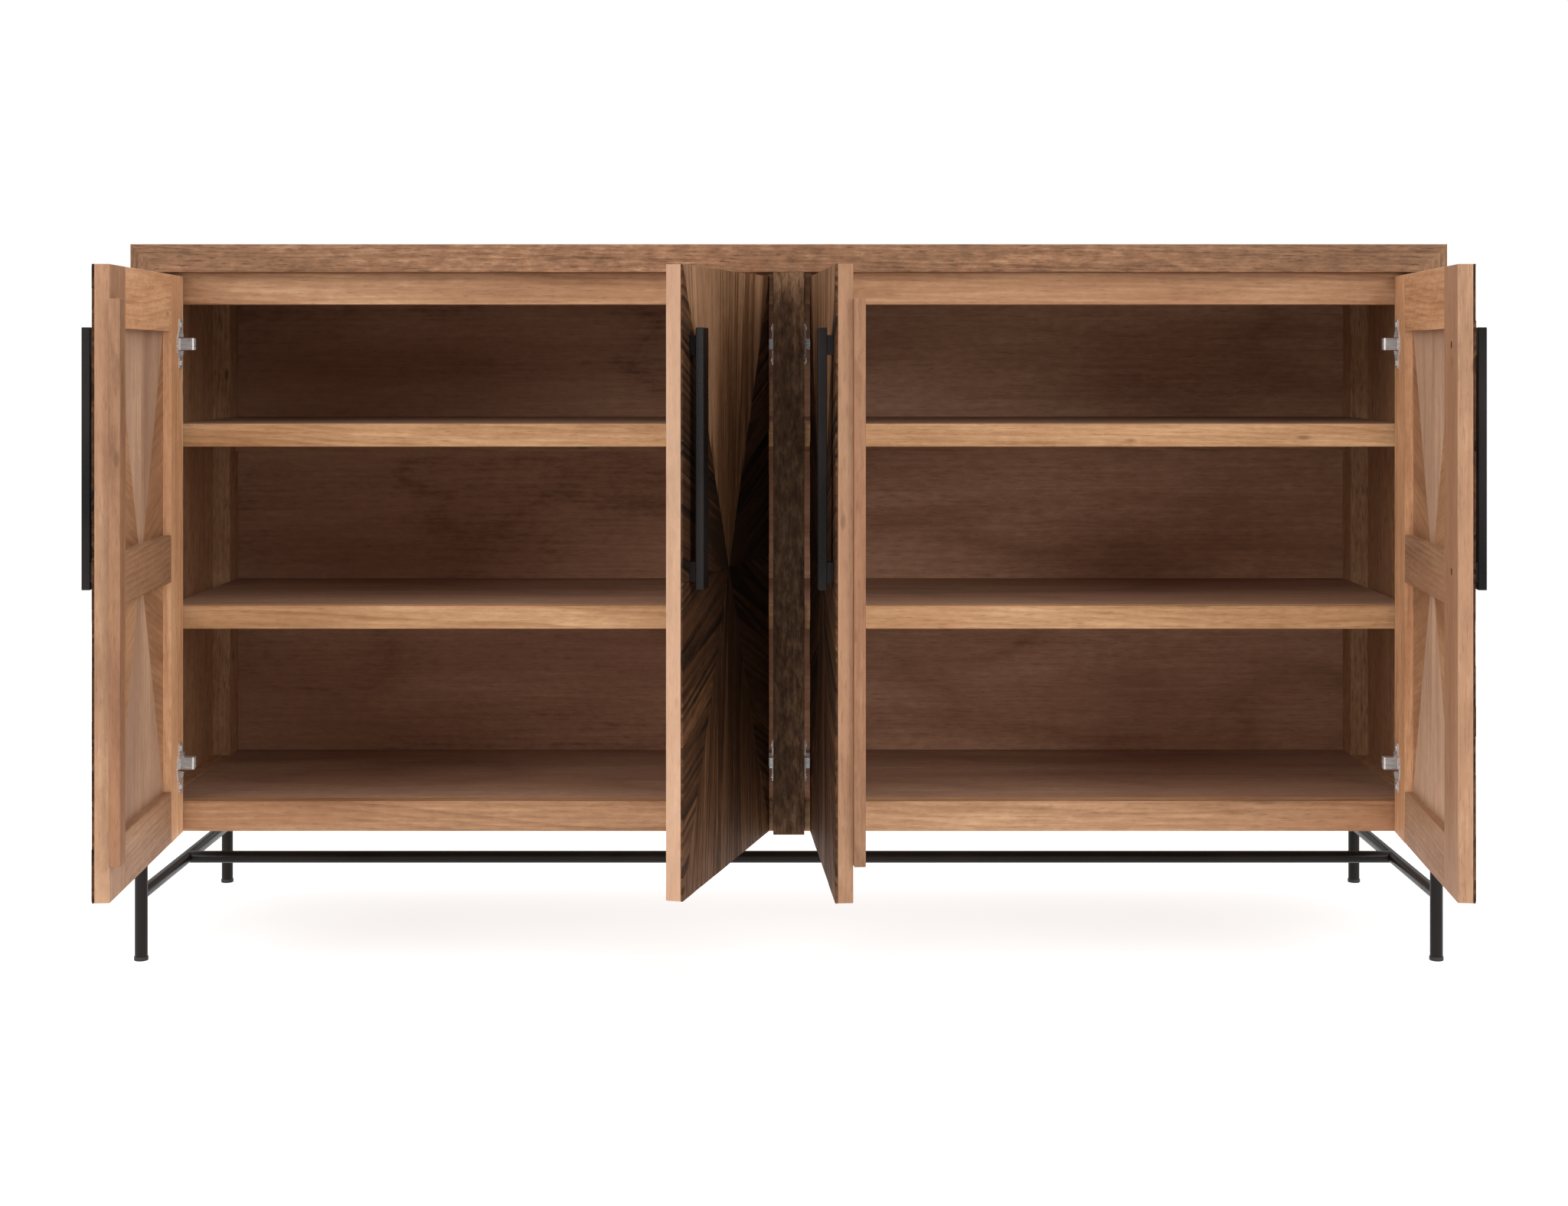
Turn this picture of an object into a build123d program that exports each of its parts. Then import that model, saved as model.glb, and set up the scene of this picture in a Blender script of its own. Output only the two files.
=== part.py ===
from build123d import *
import os

# A four-door sideboard: a waterfall case with two bays of three compartments,
# on a thin metal base. Millimetres; X runs right, Y back and Z up, and the origin
# is on the floor under the middle of the case. Each door is drawn shut in its own
# frame, then swung open to its rest angle about its hinge pins.

# ---- Case
CASE_WIDTH = 1650
CASE_DEPTH = 450
CASE_TOP = 900
CASE_BOTTOM = 160
BOARD = 35  # thickness of the top board and the side frames
STILE_DEPTH = 95  # front-to-back width of each side frame's stiles
SIDE_PANEL = 11
POST_WIDTH = 39
POST_DEPTH = 70
RAIL_SETBACK = 22.5  # rails stand this far behind the case front
RAIL_THICKNESS = 25
TOP_RAIL = 40
BOTTOM_RAIL = 38
CROSS_RAIL = 65  # height of each side frame's top rail, mitre included
FLOOR_THICKNESS = 18
BACK_SETBACK = 49.5  # from the case back to the inner face of the back panels
BACK_PANEL = 6
REAR_STILE = 60
EASE = 0.8  # edge rounding on solid wood
FINE_EASE = 0.3  # edge rounding on thin pieces

# ---- Shelves
SHELF_THICKNESS = 29
SHELF_TOPS = {"lower": 443, "upper": 674}
LIP_SETBACK = 13  # from the rail faces to the shelf lips
LIP_THICKNESS = 22
CLEAT = (15, 20)  # depth and height of the rear cleats
DOWEL_RADIUS = 4
DOWEL_REACH = 12  # depth of a dowel in each of the pieces that it joins
SHELF_DOWEL_Y = (-142, 150)
RAIL_DOWEL_SPREAD = 20

# ---- Doors, drawn shut: x from the post or stile, y back from the rail faces
DOOR_GAP = 3
PAIR_GAP = 2.5
DOOR_THICKNESS = 20
DOOR_BACK_GAP = 2.5  # between a shut door and the rails
DOOR_FLOOR_GAP = 1
DOOR_TOP_GAP = 5
FACE_THICKNESS = 3  # the mosaic of planks on the front
DOOR_STILE = 72
DOOR_BOTTOM_RAIL = 63
DOOR_TOP_RAIL = 70
DOOR_MID_RAIL = 58
PANEL_RECESS = 10  # from the back of the frame to the back of the panels
DOOR_CHAMFER = 4  # lets the back corner at the hinge turn past the rails
STRIP_WIDTH = 25
STRIP_THICKNESS = 13
STRIP_OVERHANG = 8
STRIP_TOP_GAP = 38
STRIP_BOTTOM_GAP = 41
STRIP_CLEARANCE = 0.5

# ---- Handles
HANDLE_INSET = 33  # handle centre from the door's free edge
HANDLE_LENGTH = 290
HANDLE_BOTTOM = 501
HANDLE_WIDTH = 20
HANDLE_THICKNESS = 9.5
HANDLE_GAP = 7
STANDOFF_WIDTH = 18
STANDOFF_HEIGHT = 22
STANDOFF_SPREAD = 251
HANDLE_SCREW_RADIUS = 2
SCREW_ACCESS_RADIUS = 4.2
SCREW_HEAD_RADIUS = 3.6
SCREW_HEAD_DEPTH = 2.2
SCREW_ACCESS_DEPTH = 9

# ---- Hinges: a cup in the door turns on a pin through the eye of a fixed arm
HINGE_HEIGHTS = (245, 775)
PIN_X = 14.5
PIN_Y = -15.5
PIN_RADIUS = 1.25
PIN_LENGTH = 25
PIN_CLEARANCE = 0.05
EYE_RADIUS = 2.6
CUP_X = 25.5
CUP_RADIUS = 17.5
CUP_WALL = 0.8
CUP_DEPTH = 16
CUP_CLEARANCE = 0.1
FLANGE_THICKNESS = 1.5
FLANGE_RIM = 1.5
FLANGE_WIDTH = 16
FLANGE_HEIGHT = 63
FLANGE_SCREW_SPREAD = 48
SLOT_HEIGHT = 17
SLOT_REACH = 22  # the slot for the arm, from the door's hinge edge inwards
ARM_HEIGHT = 15
NECK_WIDTH = 4
NECK_LENGTH = 18.5
NECK_TILT = 15
ARM_OUTLINE = ((8, 46), (14.5, 46), (14.5, 17), (21, 13), (38, 13), (38, 3), (36, 2), (8, 2))
PLATE_WING = (2, 12, 54)  # thickness, width and height of a mounting plate's wings
PLATE_WING_Y = 20
PLATE_RAIL = (8, 36, 13)  # thickness, length and height of the rail that holds the arm
PLATE_RAIL_Y = 24
PLATE_SCREW_SPREAD = 40
WOOD_SCREW_RADIUS = 1.75
WOOD_SCREW_LENGTH = 12
WOOD_HEAD_RADIUS = 3.4
WOOD_HEAD_HEIGHT = 1.2

# ---- Metal base
BAR_RADIUS = 8
LEG_X = 815
LEG_FRONT_Y = -212
LEG_REAR_Y = 214
BASE_RAIL_Z = 83
GLIDE_HEIGHT = 5
GLIDE_RADIUS = 8.8
LEG_PLATE = (30, 56, 3)
LEG_PLATE_X = 808
LEG_PLATE_SHIFT = 16  # plate centre from the leg, towards the middle of the depth
LEG_SCREW_SHIFTS = (17, 34)
LEG_SCREW_RADIUS = 2
LEG_SCREW_LENGTH = 24
LEG_SCREW_HEAD = 3.8

# ---- Places worked out from the sizes above
FRONT = -CASE_DEPTH / 2
BACK = CASE_DEPTH / 2
HALF_WIDTH = CASE_WIDTH / 2
INNER_X = HALF_WIDTH - BOARD
POST_X = POST_WIDTH / 2
RAIL_Y = FRONT + RAIL_SETBACK
UNDER_TOP = CASE_TOP - BOARD
FLOOR_Z = CASE_BOTTOM + BOTTOM_RAIL
BACK_Y = BACK - BACK_SETBACK
DOOR_WIDTH = (INNER_X - POST_X - 2 * DOOR_GAP - PAIR_GAP) / 2
DOOR_FREE = DOOR_GAP + DOOR_WIDTH
DOOR_LOW = CASE_BOTTOM + DOOR_FLOOR_GAP
DOOR_HIGH = UNDER_TOP - DOOR_TOP_GAP
DOOR_MIDDLE = (DOOR_LOW + DOOR_HIGH) / 2
DOOR_REAR = -DOOR_BACK_GAP
DOOR_FACE = DOOR_REAR - DOOR_THICKNESS
FRAME_FACE = DOOR_FACE + FACE_THICKNESS
HANDLE_X = DOOR_FREE - HANDLE_INSET
HANDLE_MIDDLE = HANDLE_BOTTOM + HANDLE_LENGTH / 2
SCREW_HEIGHTS = (HANDLE_MIDDLE - STANDOFF_SPREAD / 2, HANDLE_MIDDLE + STANDOFF_SPREAD / 2)

# name, face that carries the hinges, direction of the shut door, rest angle, overlap strip
DOORS = (
    ("outer_left", -INNER_X, 1, 86.5, True),
    ("inner_left", -POST_X, -1, 76.5, False),
    ("inner_right", POST_X, 1, 86, True),
    ("outer_right", INNER_X, -1, 85.5, False),
)


def board(x, y, z, ease=EASE):
    """A board between two limits along each axis, with rounded edges."""
    middle = Pos(sum(x) / 2, sum(y) / 2, sum(z) / 2)
    solid = middle * Box(x[1] - x[0], y[1] - y[0], z[1] - z[0])
    return fillet(solid.edges(), ease) if ease else solid


def prism(outline, low, high):
    """An outline of (x, z) points, extruded along Y."""
    face = make_face(Polyline([(x, low, z) for x, z in outline], close=True))
    return extrude(face, amount=high - low, dir=(0, 1, 0))


def rod(radius, start, end):
    """A round bar between two points that differ along one axis."""
    start, end = Vector(*start), Vector(*end)
    axis = end - start
    plane = Plane(origin=(start + end) / 2, z_dir=axis)
    return plane * Cylinder(radius, axis.length)


def mirrored(solid):
    """The solid and its mirror image on the other side of the case."""
    return [solid, mirror(solid, about=Plane.YZ)]


def sides(name, solid):
    """A left and a right node from the left-hand solid."""
    left, right = mirrored(solid)
    return {f"{name}_left": [left], f"{name}_right": [right]}


# ---- Case pieces

def joint_dowels():
    """Wooden dowels across the ends of the shelves and rails."""
    dowels = []
    rail_middle = RAIL_Y + RAIL_THICKNESS / 2
    rows = [(y, top - SHELF_THICKNESS / 2) for top in SHELF_TOPS.values() for y in SHELF_DOWEL_Y]
    for middle in (CASE_BOTTOM + BOTTOM_RAIL / 2, UNDER_TOP - TOP_RAIL / 2):
        rows += [(rail_middle, middle + s * RAIL_DOWEL_SPREAD / 2) for s in (-1, 1)]
    for y, z in rows:
        for x in (INNER_X, POST_X):
            dowels += mirrored(rod(DOWEL_RADIUS, (x - DOWEL_REACH, y, z), (x + DOWEL_REACH, y, z)))
    return dowels


def top_board():
    outline = ((-HALF_WIDTH, CASE_TOP), (HALF_WIDTH, CASE_TOP), (INNER_X, UNDER_TOP), (-INNER_X, UNDER_TOP))
    solid = prism(outline, FRONT, BACK)
    return fillet(solid.edges().filter_by(Axis.X), EASE)


def side_stile(low, high):
    """A left-hand stile, mitred into the top board."""
    outline = (
        (-HALF_WIDTH, CASE_BOTTOM), (-INNER_X, CASE_BOTTOM), (-INNER_X, UNDER_TOP), (-HALF_WIDTH, CASE_TOP)
    )
    solid = prism(outline, low, high)
    return fillet(solid.edges().filter_by(Axis.Z), EASE)


def side_cross_rails():
    """The left-hand top rail, mitred like the stiles, and bottom rail."""
    low, high = FRONT + STILE_DEPTH, BACK - STILE_DEPTH
    bottom = CASE_TOP - CROSS_RAIL
    outline = ((-HALF_WIDTH, bottom), (-INNER_X, bottom), (-INNER_X, UNDER_TOP), (-HALF_WIDTH, CASE_TOP))
    bottom_rail = board((-HALF_WIDTH, -INNER_X), (low, high), (CASE_BOTTOM, FLOOR_Z))
    return [prism(outline, low, high), bottom_rail]


def side_panel():
    depth = (FRONT + STILE_DEPTH, BACK - STILE_DEPTH)
    return board((-HALF_WIDTH, SIDE_PANEL - HALF_WIDTH), depth, (FLOOR_Z, CASE_TOP - CROSS_RAIL), FINE_EASE)


def bay_board(y, z, ease=EASE):
    """A board across the left-hand bay."""
    return board((-INNER_X, -POST_X), y, z, ease)


def rear_frame():
    """Top and bottom rails and a middle stile behind the back panels."""
    depth = (BACK_Y + BACK_PANEL, BACK)
    width = (-INNER_X, INNER_X)
    middle = (-REAR_STILE / 2, REAR_STILE / 2)
    return [
        board(width, depth, (CASE_BOTTOM, FLOOR_Z)),
        board(width, depth, (UNDER_TOP - TOP_RAIL, UNDER_TOP)),
        board(middle, depth, (FLOOR_Z, UNDER_TOP - TOP_RAIL)),
    ]


def case_nodes():
    dowels = joint_dowels()
    rail_depth = (RAIL_Y, RAIL_Y + RAIL_THICKNESS)
    lip_y = RAIL_Y + LIP_SETBACK
    shelf_y = lip_y + LIP_THICKNESS
    front_stile = side_stile(FRONT, FRONT + STILE_DEPTH)
    rear_stile = side_stile(BACK - STILE_DEPTH, BACK)
    post = board((-POST_X, POST_X), (FRONT, FRONT + POST_DEPTH), (CASE_BOTTOM, UNDER_TOP))
    divider = board((-POST_X, POST_X), (FRONT + POST_DEPTH, BACK_Y), (CASE_BOTTOM, UNDER_TOP))
    top_rail = bay_board(rail_depth, (UNDER_TOP - TOP_RAIL, UNDER_TOP)) - dowels
    bottom_rail = bay_board(rail_depth, (CASE_BOTTOM, FLOOR_Z)) - dowels
    floor = bay_board((rail_depth[1], BACK_Y), (FLOOR_Z - FLOOR_THICKNESS, FLOOR_Z), FINE_EASE)
    back = bay_board((BACK_Y, BACK_Y + BACK_PANEL), (CASE_BOTTOM, UNDER_TOP), FINE_EASE)
    cross_rails = [solid for rail in side_cross_rails() for solid in mirrored(rail)]
    nodes = {
        "top_board": [top_board()],
        "side_cross_rails": cross_rails,
        "side_rear_stiles": mirrored(rear_stile - dowels),
        "centre_post": [post - dowels],
        "centre_divider": [divider - dowels],
        "top_rails": mirrored(top_rail),
        "bottom_rails": mirrored(bottom_rail),
        "floor_panels": mirrored(floor),
        "back_panels": mirrored(back),
        "rear_frame": rear_frame(),
        "joint_dowels": dowels,
        "shelf_lips": [],
        "shelf_cleats": [],
    }
    nodes |= sides("side_front_stile", front_stile - dowels)
    nodes |= sides("side_panel", side_panel())
    for level, top in SHELF_TOPS.items():
        under = top - SHELF_THICKNESS
        cleat = bay_board((BACK_Y - CLEAT[0], BACK_Y), (under - CLEAT[1], under), FINE_EASE)
        nodes["shelf_cleats"] += mirrored(cleat)
        nodes["shelf_lips"] += mirrored(bay_board((lip_y, shelf_y), (under, top)))
        nodes |= sides(f"shelf_{level}", bay_board((shelf_y, BACK_Y), (under, top), FINE_EASE) - dowels)
    return nodes


# ---- Metal base

def base_nodes():
    plate_width, plate_depth, plate_height = LEG_PLATE
    plate_z = CASE_BOTTOM - plate_height
    side_rail = rod(BAR_RADIUS, (-LEG_X, LEG_FRONT_Y, BASE_RAIL_Z), (-LEG_X, LEG_REAR_Y, BASE_RAIL_Z))
    nodes = {"leg_plates": [], "foot_glides": [], "leg_plate_screws": []}
    for name, y, inward in (("leg_front", LEG_FRONT_Y, 1), ("leg_rear", LEG_REAR_Y, -1)):
        leg = rod(BAR_RADIUS, (-LEG_X, y, GLIDE_HEIGHT), (-LEG_X, y, plate_z))
        glide = rod(GLIDE_RADIUS, (-LEG_X, y, 0), (-LEG_X, y, GLIDE_HEIGHT))
        plate = Pos(-LEG_PLATE_X, y + inward * LEG_PLATE_SHIFT, plate_z + plate_height / 2)
        plate = plate * Box(plate_width, plate_depth, plate_height)
        screws = []
        for shift in LEG_SCREW_SHIFTS:
            x, screw_y = -LEG_PLATE_X, y + inward * shift
            head = rod(LEG_SCREW_HEAD, (x, screw_y, plate_z), (x, screw_y, plate_z + plate_height / 2))
            shank = rod(LEG_SCREW_RADIUS, (x, screw_y, plate_z), (x, screw_y, plate_z + LEG_SCREW_LENGTH))
            screws.append(head + shank)
        side_rail -= leg
        nodes |= sides(name, leg)
        nodes["foot_glides"] += mirrored(fillet(glide.edges(), EASE))
        nodes["leg_plates"] += mirrored(fillet(plate.edges().filter_by(Axis.Z), EASE) - screws)
        nodes["leg_plate_screws"] += [solid for screw in screws for solid in mirrored(screw)]
    middle_y = (LEG_FRONT_Y + LEG_REAR_Y) / 2
    side_rails = mirrored(side_rail)
    stretcher = rod(BAR_RADIUS, (-LEG_X, middle_y, BASE_RAIL_Z), (LEG_X, middle_y, BASE_RAIL_Z))
    nodes["base_side_rails"] = side_rails
    nodes["base_stretcher"] = [stretcher - side_rails]
    return nodes


# ---- Doors, in the door's own frame

def door_face():
    """Six plank triangles that meet at the middle of the door."""
    left, right, low, high = DOOR_GAP, DOOR_FREE, DOOR_LOW, DOOR_HIGH
    middle = ((left + right) / 2, DOOR_MIDDLE)
    ring = [(left, low), (right, low), (right, DOOR_MIDDLE), (right, high), (left, high), (left, DOOR_MIDDLE)]
    pairs = zip(ring, ring[1:] + ring[:1])
    return [prism((start, end, middle), DOOR_FACE, FRAME_FACE) for start, end in pairs]


def door_panels():
    """Three wedges in each of the two panels, their joints on the door's diagonals."""
    left, right = DOOR_GAP + DOOR_STILE, DOOR_FREE - DOOR_STILE
    middle = (left + right) / 2
    solids = []
    for far, sign in ((DOOR_HIGH - DOOR_TOP_RAIL, 1), (DOOR_LOW + DOOR_BOTTOM_RAIL, -1)):
        near = DOOR_MIDDLE + sign * DOOR_MID_RAIL / 2
        spread = (right - left) / 2 * (near - DOOR_MIDDLE) / (far - DOOR_MIDDLE)
        inner_left, inner_right = (middle - spread, near), (middle + spread, near)
        outlines = (
            ((left, far), inner_left, (left, near)),
            ((left, far), (right, far), inner_right, inner_left),
            ((right, far), (right, near), inner_right),
        )
        solids += [prism(outline, FRAME_FACE, DOOR_REAR - PANEL_RECESS) for outline in outlines]
    return solids


def door_rails():
    span = (DOOR_GAP + DOOR_STILE, DOOR_FREE - DOOR_STILE)
    depth = (FRAME_FACE, DOOR_REAR)
    middle = (DOOR_MIDDLE - DOOR_MID_RAIL / 2, DOOR_MIDDLE + DOOR_MID_RAIL / 2)
    heights = ((DOOR_LOW, DOOR_LOW + DOOR_BOTTOM_RAIL), middle, (DOOR_HIGH - DOOR_TOP_RAIL, DOOR_HIGH))
    return [board(span, depth, height) for height in heights]


def handle_screws(with_access):
    """Machine screws into the standoffs, and the holes for their heads."""
    screws, holes = [], []
    tip = DOOR_FACE - HANDLE_GAP + 1
    seat = DOOR_REAR - SCREW_ACCESS_DEPTH
    for z in SCREW_HEIGHTS:
        head = rod(SCREW_HEAD_RADIUS, (HANDLE_X, seat - SCREW_HEAD_DEPTH, z), (HANDLE_X, seat, z))
        screws.append(head + rod(HANDLE_SCREW_RADIUS, (HANDLE_X, tip, z), (HANDLE_X, seat, z)))
        if with_access:
            holes.append(rod(SCREW_ACCESS_RADIUS, (HANDLE_X, seat, z), (HANDLE_X, DOOR_REAR, z)))
    return screws, holes


def handle(screws):
    """A flat bar on two standoffs."""
    bar_back = DOOR_FACE - HANDLE_GAP
    width = (HANDLE_X - HANDLE_WIDTH / 2, HANDLE_X + HANDLE_WIDTH / 2)
    narrow = (HANDLE_X - STANDOFF_WIDTH / 2, HANDLE_X + STANDOFF_WIDTH / 2)
    height = (HANDLE_BOTTOM, HANDLE_BOTTOM + HANDLE_LENGTH)
    solids = [board(width, (bar_back - HANDLE_THICKNESS, bar_back), height)]
    for z in SCREW_HEIGHTS:
        standoff = board(narrow, (bar_back, DOOR_FACE), (z - STANDOFF_HEIGHT / 2, z + STANDOFF_HEIGHT / 2), 0)
        solids.append(standoff - screws)
    return solids + screws


def flange_screws(z):
    """The two screws that hold one cup's flange to the door."""
    face = DOOR_REAR + FLANGE_THICKNESS
    screws = []
    for screw_z in (z - FLANGE_SCREW_SPREAD / 2, z + FLANGE_SCREW_SPREAD / 2):
        head = rod(WOOD_HEAD_RADIUS, (CUP_X, DOOR_REAR, screw_z), (CUP_X, face + WOOD_HEAD_HEIGHT, screw_z))
        tip = DOOR_REAR - WOOD_SCREW_LENGTH
        shank = rod(WOOD_SCREW_RADIUS, (CUP_X, tip, screw_z), (CUP_X, face, screw_z))
        screws.append(head + shank)
    return screws


def arm_slot(z):
    """The space that a fixed arm needs in the door's hinge edge."""
    reach = (DOOR_GAP, DOOR_GAP + SLOT_REACH)
    depth = (DOOR_REAR - CUP_DEPTH, DOOR_REAR + FLANGE_THICKNESS)
    return board(reach, depth, (z - SLOT_HEIGHT / 2, z + SLOT_HEIGHT / 2), 0)


def hinge_cup(z, screws):
    """A pressed cup with a screwed flange, and the pin across it."""
    floor = DOOR_REAR - CUP_DEPTH
    face = DOOR_REAR + FLANGE_THICKNESS
    pin = rod(PIN_RADIUS, (PIN_X, PIN_Y, z - PIN_LENGTH / 2), (PIN_X, PIN_Y, z + PIN_LENGTH / 2))
    flange = board(
        (CUP_X - FLANGE_WIDTH / 2, CUP_X + FLANGE_WIDTH / 2), (DOOR_REAR, face),
        (z - FLANGE_HEIGHT / 2, z + FLANGE_HEIGHT / 2), 0,
    )
    flange = fillet(flange.edges().filter_by(Axis.Y), FLANGE_WIDTH / 3)
    rim = rod(CUP_RADIUS + FLANGE_RIM, (CUP_X, DOOR_REAR, z), (CUP_X, face, z))
    shell = rod(CUP_RADIUS, (CUP_X, floor, z), (CUP_X, DOOR_REAR, z))
    hollow = rod(CUP_RADIUS - CUP_WALL, (CUP_X, floor + CUP_WALL, z), (CUP_X, face, z))
    cup = flange + rim + shell - hollow - arm_slot(z) - pin - screws
    return [cup, pin] + screws


def door_stiles(cuts):
    """The hinge stile, with its chamfered back corner, and the free stile."""
    hinge_edge, free_edge = DOOR_GAP, DOOR_FREE
    depth = (FRAME_FACE, DOOR_REAR)
    height = (DOOR_LOW, DOOR_HIGH)
    hinge_stile = board((hinge_edge, hinge_edge + DOOR_STILE), depth, height, 0)
    corner = hinge_stile.edges().filter_by(Axis.Z).sort_by(Axis.X)[:2].sort_by(Axis.Y)[-1]
    hinge_stile = chamfer(corner, DOOR_CHAMFER)
    free_stile = board((free_edge - DOOR_STILE, free_edge), depth, height)
    return [hinge_stile - cuts, free_stile - cuts]


def overlap_strip():
    """A strip behind the free edge that covers the gap between two shut doors."""
    outer = DOOR_FREE + STRIP_OVERHANG
    height = (DOOR_LOW + STRIP_BOTTOM_GAP, DOOR_HIGH - STRIP_TOP_GAP)
    strip = board((outer - STRIP_WIDTH, outer), (DOOR_REAR, DOOR_REAR + STRIP_THICKNESS), height)
    relief = board((DOOR_FREE, outer), (DOOR_REAR, DOOR_REAR + STRIP_CLEARANCE), height, 0)
    return [strip - relief]


def door_nodes(with_strip):
    """Every piece of one shut door, by node name."""
    screws, access_holes = handle_screws(not with_strip)
    cuts = screws + access_holes
    cups = []
    for z in HINGE_HEIGHTS:
        cup_screws = flange_screws(z)
        cups += hinge_cup(z, cup_screws)
        pocket = rod(CUP_RADIUS + CUP_CLEARANCE, (CUP_X, DOOR_REAR - CUP_DEPTH, z), (CUP_X, DOOR_REAR, z))
        cuts += [pocket, arm_slot(z)] + cup_screws
    nodes = {
        "door_stiles": door_stiles(cuts),
        "door_rails": door_rails(),
        "door_panels": door_panels(),
        "door_face": [piece - screws for piece in door_face()],
        "handle": handle(screws),
        "hinge_cups": cups,
    }
    if with_strip:
        nodes["overlap_strip"] = overlap_strip()
    return nodes


# ---- Fixed halves of the hinges, in the door's own frame

def hinge_arm(z):
    """A cranked arm whose eye turns on the cup's pin."""
    outline = make_face(Polyline([(x, y, z - ARM_HEIGHT / 2) for x, y in ARM_OUTLINE], close=True))
    body = extrude(outline, amount=ARM_HEIGHT, dir=(0, 0, 1))
    neck_frame = Pos(PIN_X, PIN_Y, z) * Rot(0, 0, -NECK_TILT)
    neck = neck_frame * Pos(0, NECK_LENGTH / 2, 0) * Box(NECK_WIDTH, NECK_LENGTH, ARM_HEIGHT)
    eye = Pos(PIN_X, PIN_Y, z) * Cylinder(EYE_RADIUS, ARM_HEIGHT)
    bore = Pos(PIN_X, PIN_Y, z) * Cylinder(PIN_RADIUS + PIN_CLEARANCE, ARM_HEIGHT)
    return body + neck + eye - bore


def plate_screws(z):
    """The two screws that hold a mounting plate."""
    face = PLATE_WING[0]
    screws = []
    for screw_z in (z - PLATE_SCREW_SPREAD / 2, z + PLATE_SCREW_SPREAD / 2):
        place = (PLATE_WING_Y, screw_z)
        head = rod(WOOD_HEAD_RADIUS, (0, *place), (face + WOOD_HEAD_HEIGHT, *place))
        shank = rod(WOOD_SCREW_RADIUS, (-WOOD_SCREW_LENGTH, *place), (face, *place))
        screws.append(head + shank)
    return screws


def mounting_plate(z, screws):
    wing_thickness, wing_width, wing_height = PLATE_WING
    rail_thickness, rail_length, rail_height = PLATE_RAIL
    wings = Pos(wing_thickness / 2, PLATE_WING_Y, z) * Box(wing_thickness, wing_width, wing_height)
    wings = fillet(wings.edges().filter_by(Axis.X), wing_width / 3)
    rail = Pos(rail_thickness / 2, PLATE_RAIL_Y, z) * Box(rail_thickness, rail_length, rail_height)
    return wings + rail - screws


# ---- Assembly

def place(solid, face_x, direction, angle=0):
    """Swing a piece open about the pins, then move it to its post or stile."""
    pin = Pos(PIN_X, PIN_Y, 0)
    solid = pin * Rot(0, 0, -angle) * pin.inverse() * solid
    if direction < 0:
        solid = mirror(solid, about=Plane.YZ)
    return Pos(face_x, RAIL_Y, 0) * solid


def main():
    nodes = case_nodes() | base_nodes()
    nodes |= {"hinge_arms": [], "hinge_mounting_plates": [], "hinge_screws": []}
    drawn = {with_strip: door_nodes(with_strip) for with_strip in (True, False)}
    for name, face_x, direction, angle, with_strip in DOORS:
        for z in HINGE_HEIGHTS:
            screws = plate_screws(z)
            nodes["hinge_arms"].append(place(hinge_arm(z), face_x, direction))
            nodes["hinge_mounting_plates"].append(place(mounting_plate(z, screws), face_x, direction))
            nodes["hinge_screws"] += [place(screw, face_x, direction) for screw in screws]
        for piece, solids in drawn[with_strip].items():
            nodes[f"{piece}_{name}"] = [place(solid, face_x, direction, angle) for solid in solids]
    for holder in ("side_front_stile_left", "side_front_stile_right", "centre_post"):
        nodes[holder] = [solid - nodes["hinge_screws"] for solid in nodes[holder]]
    for holder in ("side_front_stile_left", "side_front_stile_right", "side_rear_stiles"):
        nodes[holder] = [solid - nodes["leg_plate_screws"] for solid in nodes[holder]]
    for name, solids in nodes.items():
        export_step(Compound([part for solid in solids for part in solid.solids()]), f"parts/{name}.step")


main()
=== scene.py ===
import functools
import math
import random

import bmesh
import bpy
from mathutils import Matrix, Vector


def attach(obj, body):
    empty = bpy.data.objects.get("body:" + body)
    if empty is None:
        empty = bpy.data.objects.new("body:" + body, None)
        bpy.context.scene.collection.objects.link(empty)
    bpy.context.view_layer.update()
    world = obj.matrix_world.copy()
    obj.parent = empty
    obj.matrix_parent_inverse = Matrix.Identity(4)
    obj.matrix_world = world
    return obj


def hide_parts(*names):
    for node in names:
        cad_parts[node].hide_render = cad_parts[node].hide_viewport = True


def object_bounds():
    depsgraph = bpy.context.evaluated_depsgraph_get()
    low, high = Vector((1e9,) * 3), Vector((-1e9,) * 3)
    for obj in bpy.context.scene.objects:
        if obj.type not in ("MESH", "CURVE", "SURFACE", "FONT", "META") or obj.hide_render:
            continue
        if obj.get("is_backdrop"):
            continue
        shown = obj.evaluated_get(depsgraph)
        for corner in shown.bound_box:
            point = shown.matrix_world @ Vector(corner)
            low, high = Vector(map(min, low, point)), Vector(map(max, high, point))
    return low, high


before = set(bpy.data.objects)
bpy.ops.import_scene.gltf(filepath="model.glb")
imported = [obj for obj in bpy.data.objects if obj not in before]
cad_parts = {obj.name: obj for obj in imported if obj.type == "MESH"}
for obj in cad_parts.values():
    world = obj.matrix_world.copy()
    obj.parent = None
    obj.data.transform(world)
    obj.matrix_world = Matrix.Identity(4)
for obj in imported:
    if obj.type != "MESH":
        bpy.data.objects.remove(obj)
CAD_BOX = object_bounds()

# ---- The case, in metres
HALF_WIDTH = 0.825
STILE_INNER_X = 0.790
PANEL_INNER_X = 0.814
PANEL_Y = (-0.130, 0.130)  # the side panels' edges
PANEL_Z = (0.198, 0.835)
REAR_STILE = 0.060
REAR_STILE_Z = (0.198, 0.825)
CASE_MIDDLE_Z = 0.5  # above the case's lower rails and below its upper ones
SLACK = 0.0004  # for faces that lie right on a limit
SEAM = 0.0007  # half the width of the dark line along a flush joint
TOP_BOARDS = 0.118  # the width of one of the top's glued boards
TOP_BOARDS_SHIFT = 0.02
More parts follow.
